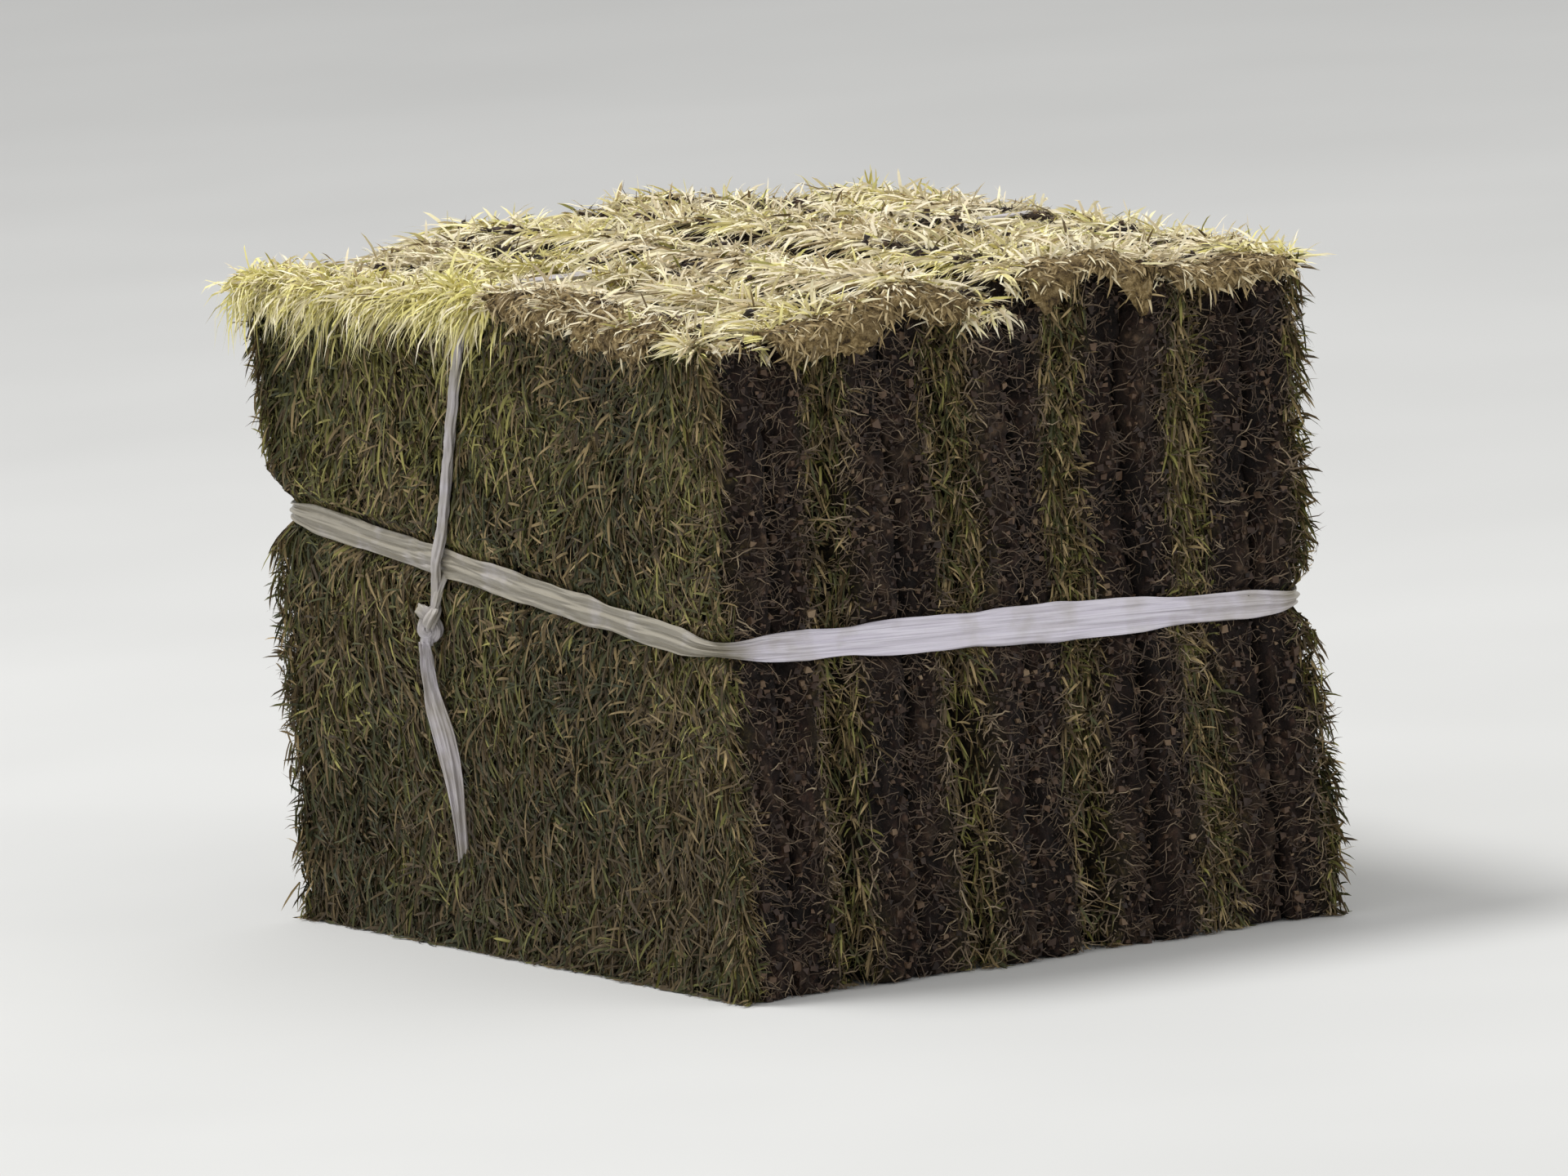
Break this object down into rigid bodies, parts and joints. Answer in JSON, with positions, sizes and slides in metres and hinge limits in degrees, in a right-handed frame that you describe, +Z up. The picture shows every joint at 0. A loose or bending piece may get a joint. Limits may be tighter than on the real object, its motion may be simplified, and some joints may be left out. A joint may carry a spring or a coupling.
{
  "type": "bundle of cut turf mats",
  "caption": "Bundle of cut turf mats, standing on edge soil to soil and grass to grass, tied round the sides and over the top with flat white polyethylene tape.",
  "frame": {"origin": "on the ground, under the middle of the bundle", "axes": "+X across the stack from the left grass face to the right one, +Y along the mats' length, +Z up"},
  "size_m": [0.2868, 0.3753, 0.279],
  "materials": {
    "turf": "matte",
    "tape": "satin"
  },
  "bodies": {
    "root": {"turf_mat_01": "turf", "turf_mat_02": "turf", "turf_mat_03": "turf", "turf_mat_04": "turf", "turf_mat_05": "turf", "turf_mat_06": "turf", "turf_mat_07": "turf", "turf_mat_08": "turf", "turf_mat_09": "turf", "turf_mat_10": "turf", "tape_belt": "tape", "tape_cross": "tape", "tape_tail": "tape"}
  },
  "joints": []
}
